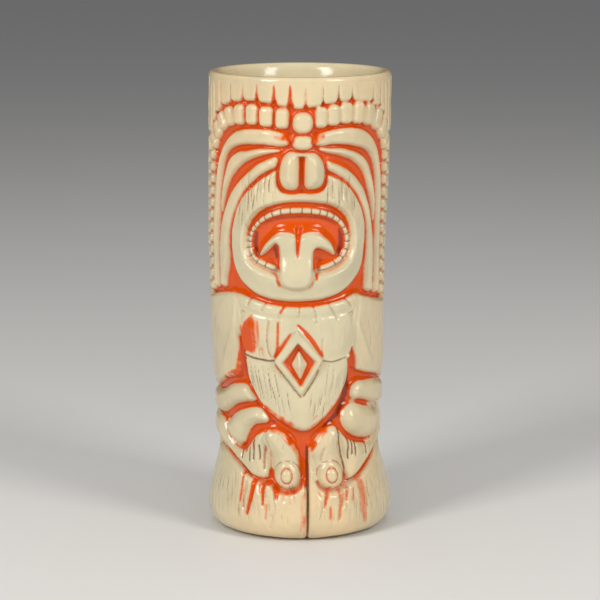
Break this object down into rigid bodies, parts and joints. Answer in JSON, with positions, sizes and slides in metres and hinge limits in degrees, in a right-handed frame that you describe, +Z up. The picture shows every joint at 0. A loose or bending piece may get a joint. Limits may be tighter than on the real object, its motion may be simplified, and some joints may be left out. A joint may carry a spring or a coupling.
{
  "type": "tiki mug",
  "caption": "Tall round glazed ceramic drinking mug with a squatting carved figure in relief: feathered crown, ringed arches, open mouth with tongue, diamond belly, ringed knees.",
  "frame": {"origin": "centre of the foot, on the surface the mug stands on", "axes": "+Z up through the mouth; the figure faces -Y; +X is at the right of the figure as it is looked at from the front"},
  "size_m": [0.066, 0.0677, 0.165],
  "materials": {
    "cream_glaze": "warm cream glaze, glossy",
    "orange_stain": "burnt orange stain under clear glaze, glossy"
  },
  "bodies": {
    "root": {"cup": "cream_glaze", "crown_feathers": "cream_glaze", "brow_beads_left": "cream_glaze", "brow_beads_right": "cream_glaze", "forehead_bead_upper": "cream_glaze", "forehead_bead_lower": "cream_glaze", "nostril_left": "cream_glaze", "nostril_right": "cream_glaze", "outer_arch_left": "cream_glaze", "outer_arch_right": "cream_glaze", "middle_arch_left": "cream_glaze", "middle_arch_right": "cream_glaze", "inner_arch_left": "cream_glaze", "inner_arch_right": "cream_glaze", "muzzle": "cream_glaze", "teeth_left": "cream_glaze", "teeth_right": "cream_glaze", "tongue": "cream_glaze", "collar": "cream_glaze", "chest": "cream_glaze", "belly": "cream_glaze", "diamond_frame": "cream_glaze", "diamond_gem": "cream_glaze", "sleeve_left": "cream_glaze", "sleeve_right": "cream_glaze", "cuff_left": "cream_glaze", "cuff_right": "cream_glaze", "fist_left": "cream_glaze", "fist_right": "cream_glaze", "thigh_left": "cream_glaze", "thigh_right": "cream_glaze", "knee_left": "cream_glaze", "knee_right": "cream_glaze", "knee_ring_left": "orange_stain", "knee_ring_right": "orange_stain", "leg_left": "cream_glaze", "leg_right": "cream_glaze", "leg_back": "cream_glaze", "hair_locks": "cream_glaze", "back_panel": "cream_glaze"}
  },
  "joints": []
}
